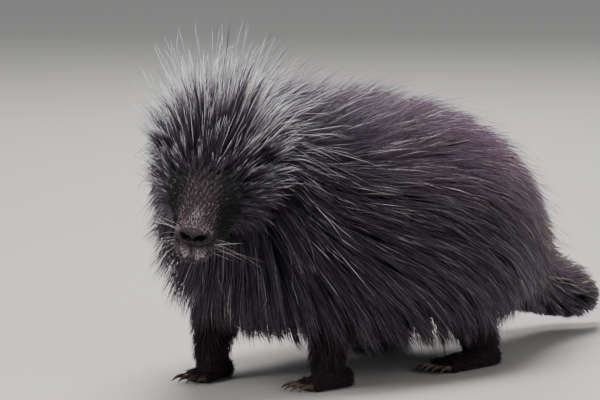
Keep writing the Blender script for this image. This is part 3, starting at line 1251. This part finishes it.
def eyePiece(side, word):
    centre, forward, up, out = eyeFrame(side)
    points, faces = ball(np.zeros(3), np.eye(3), (1, 1, 1), 40, 28)
    polar = np.degrees(np.arccos(np.clip(points[:, 2], -1, 1)))
    grown = 1 + eyeLook["bulge"] * np.exp(-((polar / eyeLook["bulgeWide"]) ** 2))
    placed = centre + (points * grown[:, None] * eye["radius"]) @ np.array([forward, up, out])
    placed, faces = outward(placed, faces)
    ring = smooth(eyeLook["pupil"] - 2, eyeLook["pupil"] + 2, polar)[:, None]
    edge = smooth(eyeLook["iris"] - 4, eyeLook["iris"] + 4, polar)[:, None]
    colours = mix(mix(eyePalette["pupil"], eyePalette["iris"], ring), eyePalette["white"], edge)
    return makeObject("eye" + word, placed, faces, colours, colourName="eyeColour")


def lidPiece(side, word):
    # For each turn round the eye the opening stands at a polar angle, wide at the corners.
    # The profile there is an oval across the band and through the lid's thickness.
    centre, forward, up, out = eyeFrame(side)
    turn = np.linspace(0, 2 * math.pi, 72, endpoint=False)[:, None]
    around = np.linspace(0, 2 * math.pi, 14, endpoint=False)[None, :]
    opening = lids["high"] + (lids["wide"] - lids["high"]) * np.abs(np.cos(turn)) ** 3
    polar = np.radians(opening + lids["band"] * (1 + np.cos(around)))
    radius = eye["radius"] + lids["lift"] + lids["thick"] * np.sin(around)
    local = np.stack(
        [np.sin(polar) * np.cos(turn), np.sin(polar) * np.sin(turn), np.cos(polar) + 0 * turn], -1
    )
    rings = centre + (local * radius[..., None]) @ np.array([forward, up, out])
    count, sides = rings.shape[:2]
    r, k = np.meshgrid(np.arange(count), np.arange(sides), indexing="ij")
    a, b = (r * sides + k).ravel(), (r * sides + (k + 1) % sides).ravel()
    c, d = ((r + 1) % count * sides + (k + 1) % sides).ravel(), ((r + 1) % count * sides + k).ravel()
    faces = np.concatenate([np.stack([a, b, c], -1), np.stack([a, c, d], -1)])
    rim = np.broadcast_to(smooth(-0.55, -0.95, np.cos(around)), rings.shape[:2]).reshape(-1, 1)
    colours = mix(linear(lids["skin"]), linear(lids["rim"]), rim)
    return makeObject("lid" + word, *outward(rings.reshape(-1, 3), faces), colours, colourName="lidColour")


eyeObjects = {word: eyePiece(side, word) for side, word in ((1, "Left"), (-1, "Right"))}
lidObjects = {word: lidPiece(side, word) for side, word in ((1, "Left"), (-1, "Right"))}

# Ears: a thin oval shell, cupped forwards, its root inside the head.
ear = {"behind": 0.038, "round": 56.0, "size": (0.019, 0.009, 0.025), "cup": 0.62, "coreShare": 0.45, "rise": 0.0, "skin": "#352d33"}


def earPiece(side, word):
    along = atHead(-ear["behind"])
    here, normal, tailward, _, _, _ = bodyFrame(along, side * ear["round"], ear["coreShare"])
    axis = unit(normal + headUp * 0.35 + tailward * 0.15)
    facing = headAhead + normal * 0.55
    facing = unit(facing - axis * np.dot(facing, axis))
    wide, thick, tall = ear["size"]
    centre = here + axis * tall * ear["rise"]
    points, faces = ball(np.zeros(3), np.eye(3), (1, 1, 1), 44, 30)
    front = points[:, 1] > 0
    points[:, 1] = np.where(front, -points[:, 1] * ear["cup"], points[:, 1])
    axes = np.array([np.cross(facing, axis), facing, axis]) * np.array([[wide / 2], [thick / 2 * 1.3], [tall / 2]])
    placed, faces = outward(centre + points @ axes, faces)
    colours = np.repeat(linear(ear["skin"])[None], len(placed), 0)
    return makeObject("ear" + word, placed, faces, colours, colourName="skinColour")


earObjects = {word: earPiece(side, word) for side, word in ((1, "Left"), (-1, "Right"))}

# Fur that hides most of each ear: hair over its back and rim, which sweeps up and tailward.
earFur = {
    "spacing": 0.0014, "length": (0.024, 0.046), "half": 0.00028, "lift": (30.0, 16.0), "pale": {1: 0.10, -1: 0.50}, "grizzle": "#3a3238", "seed": 71,
}


def earFurPiece():
    draw = np.random.default_rng(earFur["seed"])
    gathered = []
    for order, (thing, side) in enumerate(zip(earObjects.values(), (1, -1))):
        along = atHead(-ear["behind"])
        here, normal, tailward, _, _, _ = bodyFrame(along, side * ear["round"], ear["coreShare"])
        roots, normals = scatterOn(draw, surfaceOf(thing), lambda middles, normals: 0 * middles[:, 0] + earFur["spacing"] ** -2.0)
        number = len(roots)
        height = np.clip((roots - here) @ normal / ear["size"][2] + 0.3, 0, 1)
        length = mix(earFur["length"][0], earFur["length"][1], height) * draw.uniform(0.7, 1.15, number)
        flow = 0.75 * normal + 1.1 * tailward + headUp * 0.12 + draw.normal(0, 0.13, (number, 3))
        facing = unit(headAhead + 0.55 * normal)
        inside = (normals @ facing > 0) * 1.0
        length *= 1 - 0.2 * inside
        lift = np.radians(mix(*earFur["lift"], inside) * draw.uniform(0.6, 1.3, number))
        points, outs = shortTufts(roots, (2 * inside - 1)[:, None] * facing, flow, length, lift)
        isPale = draw.uniform(0, 1, (number, 1)) < earFur["pale"][side] * mix(0.8, 1.3, inside)[:, None]
        dark = mix(linear(coatTint["root"]), linear(coatTint["shaft"]), draw.uniform(0.2, 1, (number, 1)))
        dark = mix(dark, linear(earFur["grizzle"]), inside[:, None] * draw.uniform(0.2, 1, (number, 1)))
        tip = np.where(isPale, linear(coatTint["grey"]) * draw.uniform(0.45, 1, (number, 1)), dark * 1.3)
        t = np.array(tuft["rings"])[None, :, None]
        early = (0.40 * inside)[:, None, None]
        colours = mix(dark[:, None], tip[:, None], smooth(0.28 - early, 0.90 - early, t))
        rootUV = np.stack([(order + draw.uniform(0.02, 0.98, number)) / 2, height], -1)
        gathered.append((points, outs, np.full(number, earFur["half"]), colours, rootUV))
    points, outs, half, colours, rootUV = (np.concatenate(parts) for parts in zip(*gathered))
    return strandObject("furEars", points, outs, half, tuft["taper"], 0.8, colours, rootUV)


coatPieces["furEars"] = earFurPiece()
print("ear fur", faceCount(coatPieces["furEars"]), "triangles")


# Claws: an oval tube bent round an arc, from inside the toe down towards the floor.
claws = {"bend": 62.0, "lift": -22.0, "thick": 0.0029, "wide": 0.0020, "least": 0.00015}


def clawShape(tip, length):
    # The arc turns by bend from lift. Its oval shrinks by 1 - u to the power 0.75.
    u = np.linspace(0, 0.97, 18)
    bend, lift = math.radians(claws["bend"]), math.radians(claws["lift"])
    angle, radius = lift + bend * u, length / bend
    ahead = radius * (np.sin(angle) - math.sin(lift)) - legSkin["toeCut"] + legSkin["gap"]
    drop = radius * (math.cos(lift) - np.cos(angle))
    shrink = (1 - u) ** 0.75
    thick, wide = claws["thick"] * shrink + claws["least"], claws["wide"] * shrink + claws["least"]
    turns = np.linspace(0, 2 * math.pi, 14, endpoint=False)
    up = np.stack([0 * u, np.sin(angle), np.cos(angle)], -1)
    centre = np.stack([0 * u, ahead, 0.0002 - drop], -1)
    rings = centre[:, None] + up[:, None] * (thick[:, None] * np.sin(turns))[..., None]
    rings[..., 0] += wide[:, None] * np.cos(turns)
    start = centre[0] - np.array([0, 0.002, 0])
    end = centre[-1] + np.array([0, math.cos(angle[-1]), -math.sin(angle[-1])]) * length * 0.04
    return loft(through(tip, rings), through(tip, start), through(tip, end))


clawObjects = {}
for name, (limb, xOut, y, side, toeIn) in feet.items():
    tips = toeFrames(limb, footFrame(side * xOut, y, side, toeIn))
    shape = joined([clawShape(tip, limb["claw"]) for tip in tips])
    words = name.split("_")
    clawObjects[name] = makeObject("claws" + words[0].title() + words[1].title(), *shape)
print("eyes, lids, ears and claws made")

# Colours painted on the skin, by where a point is on the head, the body or the feet.
hide = {
    "body": "#0d0a0c", "muzzle": "#3a2c35", "pad": "#3a3234", "lip": "#4c4648",
    "pit": "#040303", "foot": "#191210",
}


def skinColours(points):
    tone = {key: linear(value) for key, value in hide.items()}
    ahead, left, up = headCoords(points)
    near = np.linalg.norm(points - spine["headAt"], axis=-1) < 0.085
    colours = np.repeat(tone["body"][None], len(points), 0)
    pale = (faceShade(ahead, left, up) * near)[:, None]
    colours = mix(colours, tone["muzzle"], np.clip(pale * 1.8, 0, 1))
    pad = smooth(0.047, 0.053, ahead) * smooth(-0.030, -0.026, up) * near
    speckle = np.random.default_rng(5).uniform(0.45, 1.9, (len(points), 1))
    colours = mix(colours, tone["pad"] * speckle, 0.8 * pad[:, None])
    lip = smooth(0.040, 0.048, ahead) * smooth(-0.030, -0.036, up) * near
    colours = mix(colours, tone["lip"] * speckle, lip[:, None] * np.clip(0.15 + 0.7 * pale, 0, 1))
    line = np.exp(-(((up - skin["mouth"]["up"]) / skin["mouth"]["half"]) ** 2))
    line *= smooth(skin["mouth"]["from"], skin["mouth"]["from"] + 0.006, ahead) * near
    dark = np.maximum(line, smooth(0.25, 0.75, foldShare(ahead, left, up)) * near)
    coords = np.stack([ahead, left, up], -1)
    for side in (1, -1):
        middle, radii, tilt, _ = skin["nostril"]
        dark = np.maximum(dark, smooth(0.0006, -0.0004, formDistance(coords, middle, radii, tilt, side)) * near)
    colours = mix(colours, tone["pit"], dark[:, None])
    foot = smooth(0.034, 0.022, points[:, 2])
    return mix(colours, tone["foot"], foot[:, None])


addColours(skinObject.data, "skinColour", skinColours(pointsOf(skinObject.data)))


# Each coat's finish: how rough, how much sheen, and how much its colour wanders.
coatFinish = {
    "guardHairKeratin": {"roughness": 0.40, "specular": 0.40, "sheen": 0.0, "grain": 0.0016},
    "velvetFur": {"roughness": 0.62, "specular": 0.25, "sheen": 0.06, "grain": 0.0012},
    "bristleKeratin": {"roughness": 0.38, "specular": 0.50, "sheen": 0.0, "grain": 0.0020},
}


def coatMaterial(name):
    # Hair is keratin with a scaled cuticle: half glossy along its length. The colour comes
    # from each strand's own points, and fine noise keeps neighbours from looking alike.
    look = coatFinish[name]
    material, tree, output = newMaterial(name)
    spot = addNode(tree, "ShaderNodeTexCoord")
    own = addNode(tree, "ShaderNodeAttribute", {"attribute_name": "coatColour"})
    grain = addNode(
        tree, "ShaderNodeTexNoise", links={"Vector": spot.outputs["Object"]},
        Scale=1 / look["grain"], Detail=2.0, Roughness=0.6,
    )
    wander = addNode(
        tree, "ShaderNodeMapRange", links={"Value": grain.outputs["Fac"]},
        From_Min=0.25, From_Max=0.75, To_Min=0.78, To_Max=1.22,
    )
    colour = addNode(
        tree, "ShaderNodeVectorMath", {"operation": "SCALE"},
        {"Vector": own.outputs["Color"], "Scale": wander.outputs["Result"]},
    )
    rough = addNode(
        tree, "ShaderNodeMapRange", links={"Value": grain.outputs["Fac"]},
        To_Min=look["roughness"] - 0.06, To_Max=look["roughness"] + 0.08,
    )
    shader = addNode(
        tree, "ShaderNodeBsdfPrincipled",
        links={"Base Color": colour.outputs["Vector"], "Roughness": rough.outputs["Result"]},
        Specular_IOR_Level=look["specular"], Sheen_Weight=look["sheen"], Sheen_Roughness=0.4, IOR=1.55,
    )
    tree.links.new(shader.outputs["BSDF"], output.inputs["Surface"])
    return material


def hideMaterial():
    # Skin with short flat fur on it: matt, with fine streaks of hair as bump. Real hairs are
    # under 0.1 mm, so the streaks are drawn about 0.8 mm wide to show.
    material, tree, output = newMaterial("furredHide")
    spot = addNode(tree, "ShaderNodeTexCoord")
    own = addNode(tree, "ShaderNodeAttribute", {"attribute_name": "skinColour"})
    stretch = addNode(
        tree, "ShaderNodeMapping", {"vector_type": "POINT"}, {"Vector": spot.outputs["Object"]},
        Scale=(1250.0, 320.0, 700.0),
    )
    streaks = addNode(
        tree, "ShaderNodeTexNoise", links={"Vector": stretch.outputs["Vector"]}, Scale=1.0, Detail=3.0,
    )
    patches = addNode(
        tree, "ShaderNodeTexNoise", links={"Vector": spot.outputs["Object"]}, Scale=90.0, Detail=2.0,
    )
    both = addNode(
        tree, "ShaderNodeMath", {"operation": "MULTIPLY"},
        {0: streaks.outputs["Fac"], 1: patches.outputs["Fac"]},
    )
    wander = addNode(
        tree, "ShaderNodeMapRange", links={"Value": both.outputs["Value"]},
        From_Min=0.12, From_Max=0.42, To_Min=0.55, To_Max=1.5,
    )
    colour = addNode(
        tree, "ShaderNodeVectorMath", {"operation": "SCALE"},
        {"Vector": own.outputs["Color"], "Scale": wander.outputs["Result"]},
    )
    bump = addNode(
        tree, "ShaderNodeBump", links={"Height": streaks.outputs["Fac"]}, Strength=0.5, Distance=0.0006,
    )
    shader = addNode(
        tree, "ShaderNodeBsdfPrincipled",
        links={"Base Color": colour.outputs["Vector"], "Normal": bump.outputs["Normal"]},
        Roughness=0.78, Specular_IOR_Level=0.25,
    )
    tree.links.new(shader.outputs["BSDF"], output.inputs["Surface"])
    return material


def padMaterial():
    # Bare sole pads: thick leathery skin, cobbled like a basketball at about 1.2 mm.
    material, tree, output = newMaterial("cobbledPad")
    spot = addNode(tree, "ShaderNodeTexCoord")
    cells = addNode(
        tree, "ShaderNodeTexVoronoi", {"feature": "F1"}, {"Vector": spot.outputs["Object"]}, Scale=800.0,
    )
    colour = addNode(tree, "ShaderNodeValToRGB", links={"Fac": cells.outputs["Distance"]})
    colour.color_ramp.elements[0].color = (*linear("#3a2c28"), 1)
    colour.color_ramp.elements[1].color = (*linear("#17100e"), 1)
    bump = addNode(
        tree, "ShaderNodeBump", {"invert": True}, {"Height": cells.outputs["Distance"]},
        Strength=0.7, Distance=0.0005,
    )
    shader = addNode(
        tree, "ShaderNodeBsdfPrincipled",
        links={"Base Color": colour.outputs["Color"], "Normal": bump.outputs["Normal"]}, Roughness=0.62,
    )
    tree.links.new(shader.outputs["BSDF"], output.inputs["Surface"])
    return material


def hornMaterial():
    # Claw horn: smooth grown keratin, dark brown with faint lengthwise streaks.
    material, tree, output = newMaterial("clawHorn")
    spot = addNode(tree, "ShaderNodeTexCoord")
    stretch = addNode(
        tree, "ShaderNodeMapping", {"vector_type": "POINT"}, {"Vector": spot.outputs["Object"]},
        Scale=(1600.0, 120.0, 500.0),
    )
    streaks = addNode(
        tree, "ShaderNodeTexNoise", links={"Vector": stretch.outputs["Vector"]}, Scale=1.0, Detail=4.0,
    )
    colour = addNode(tree, "ShaderNodeValToRGB", links={"Fac": streaks.outputs["Fac"]})
    colour.color_ramp.elements[0].position, colour.color_ramp.elements[1].position = 0.30, 0.75
    colour.color_ramp.elements[0].color = (*linear("#231812"), 1)
    colour.color_ramp.elements[1].color = (*linear("#6b5544"), 1)
    bump = addNode(
        tree, "ShaderNodeBump", links={"Height": streaks.outputs["Fac"]}, Strength=0.3, Distance=0.0002,
    )
    shader = addNode(
        tree, "ShaderNodeBsdfPrincipled",
        links={"Base Color": colour.outputs["Color"], "Normal": bump.outputs["Normal"]},
        Roughness=0.34, IOR=1.54,
    )
    tree.links.new(shader.outputs["BSDF"], output.inputs["Surface"])
    return material


def eyeMaterial():
    # A living eye: almost black iris under a wet clear cornea, so it shows one hard glint.
    material, tree, output = newMaterial("wetEye")
    own = addNode(tree, "ShaderNodeAttribute", {"attribute_name": "eyeColour"})
    shader = addNode(
        tree, "ShaderNodeBsdfPrincipled", links={"Base Color": own.outputs["Color"]},
        Roughness=0.15, IOR=1.38, Specular_IOR_Level=0.15, Coat_Weight=0.4, Coat_Roughness=0.02, Coat_IOR=1.38,
    )
    tree.links.new(shader.outputs["BSDF"], output.inputs["Surface"])
    return material


def lidMaterial():
    # Bare lid skin: thin, finely creased and slightly moist, paler than the fur round it.
    material, tree, output = newMaterial("lidSkin")
    spot = addNode(tree, "ShaderNodeTexCoord")
    creases = addNode(
        tree, "ShaderNodeTexNoise", links={"Vector": spot.outputs["Object"]}, Scale=1400.0, Detail=3.0,
    )
    own = addNode(tree, "ShaderNodeAttribute", {"attribute_name": "lidColour"})
    wander = addNode(
        tree, "ShaderNodeMapRange", links={"Value": creases.outputs["Fac"]},
        From_Min=0.30, From_Max=0.70, To_Min=0.7, To_Max=1.3,
    )
    colour = addNode(
        tree, "ShaderNodeVectorMath", {"operation": "SCALE"},
        {"Vector": own.outputs["Color"], "Scale": wander.outputs["Result"]},
    )
    bump = addNode(
        tree, "ShaderNodeBump", links={"Height": creases.outputs["Fac"]}, Strength=0.4, Distance=0.0002,
    )
    shader = addNode(
        tree, "ShaderNodeBsdfPrincipled",
        links={"Base Color": colour.outputs["Vector"], "Normal": bump.outputs["Normal"]},
        Roughness=0.42, Specular_IOR_Level=0.5,
    )
    tree.links.new(shader.outputs["BSDF"], output.inputs["Surface"])
    return material


guardHair, velvet, bristle = (coatMaterial(name) for name in coatFinish)
fleshNodes = ["head", "neck", "torso", "tail"]
fleshNodes += [f"{limb}{part}_{side}" for limb in ("fore", "hind") for part in ("leg", "foot") for side in ("left", "right")]
furredHide, cobbledPad, clawHorn, wetEye, lidSkin = (
    hideMaterial(), padMaterial(), hornMaterial(), eyeMaterial(), lidMaterial(),
)
dress(skinObject, furredHide, fleshNodes)
skinObject.data.materials.append(cobbledPad)
normals = np.empty(len(skinObject.data.polygons) * 3)
centres = np.empty(len(skinObject.data.polygons) * 3)
skinObject.data.polygons.foreach_get("normal", normals)
skinObject.data.polygons.foreach_get("center", centres)
isSole = (normals[2::3] < -0.6) & (centres[2::3] < 0.004)
skinObject.data.polygons.foreach_set("material_index", isSole.astype(np.int32))
for word, thing in eyeObjects.items():
    dress(thing, wetEye, ["eye_" + word.lower()])
for thing in lidObjects.values():
    dress(thing, lidSkin)
for word, thing in earObjects.items():
    addColours(thing.data, "skinColour", np.repeat(linear(hide["body"])[None], len(thing.data.vertices), 0))
    dress(thing, furredHide, ["ear_" + word.lower()])
for name, thing in clawObjects.items():
    word, side = name.split("_")
    count = feet[name][0]["toes"]
    dress(thing, clawHorn, [f"{word}claw_{side}_{k + 1}" for k in range(count)])
for name, thing in coatPieces.items():
    finish = {"furFace": velvet, "furLegs": velvet, "whiskers": bristle, "quills": bristle}.get(name, guardHair)
    dress(thing, finish)

# Stage: a wide pale floor, soft light from above and in front, and a faint rim from behind.
stage = {
    "floor": "#c4c1bc", "sky": "#dcdfe4", "skyStrength": 0.42,
    "lamps": {  # place, size, watts
        "above": ((0.0, -0.2, 2.2), 1.2, 56.0),
        "front": ((-0.3, -2.5, 1.5), 1.0, 30.0),
        "left": ((2.4, 0.2, 1.2), 1.4, 14.0),
        "behind": ((-1.5, 1.6, 1.6), 0.9, 36.0),
    },
}


def buildStage():
    floor = makeObject("floor", [(-30, -30, 0), (30, -30, 0), (30, 30, 0), (-30, 30, 0)], [(0, 1, 2, 3)])
    material, tree, output = newMaterial("paleFloor")
    shader = addNode(
        tree, "ShaderNodeBsdfPrincipled", Base_Color=(*linear(stage["floor"]), 1), Roughness=0.9,
    )
    tree.links.new(shader.outputs["BSDF"], output.inputs["Surface"])
    floor.data.materials.append(material)
    world = bpy.data.worlds.new("studioSky")
    world.use_nodes = True
    background = world.node_tree.nodes["Background"]
    background.inputs["Color"].default_value = (*linear(stage["sky"]), 1)
    background.inputs["Strength"].default_value = stage["skyStrength"]
    bpy.context.scene.world = world
    for name, (spot, size, watts) in stage["lamps"].items():
        light = bpy.data.lights.new(name, "AREA")
        light.shape, light.size, light.energy = "DISK", size, watts
        lamp = bpy.data.objects.new(name, light)
        lamp.location = spot
        lamp.rotation_euler = (Vector((0, 0, 0.15)) - Vector(spot)).to_track_quat("-Z", "Y").to_euler()
        bpy.context.scene.collection.objects.link(lamp)


# The photo's view, found by setting both eyes where the photo shows them.
photoView = {
    "azimuth": 45.0, "elevation": 8.0, "distance": 5.0, "lens": 300.0, "sensor": 36.0,
    "right": 0.0944, "up": -0.012,
}


def buildCamera():
    azimuth, elevation = math.radians(photoView["azimuth"]), math.radians(photoView["elevation"])
    forward = Vector((
        -math.sin(azimuth) * math.cos(elevation), math.cos(azimuth) * math.cos(elevation), -math.sin(elevation)
    ))
    right = Vector((math.cos(azimuth), math.sin(azimuth), 0))
    up = right.cross(forward)
    middle = Vector((eyeFrame(1)[0] + eyeFrame(-1)[0]) / 2)
    aim = middle + right * photoView["right"] + up * photoView["up"]
    data = bpy.data.cameras.new("photoCamera")
    data.lens, data.sensor_width, data.sensor_fit = photoView["lens"], photoView["sensor"], "HORIZONTAL"
    data.clip_end = 200
    camera = bpy.data.objects.new("photoCamera", data)
    camera.location = aim - forward * photoView["distance"]
    camera.rotation_euler = forward.to_track_quat("-Z", "Y").to_euler()
    bpy.context.scene.collection.objects.link(camera)
    bpy.context.scene.camera = camera


buildStage()
buildCamera()
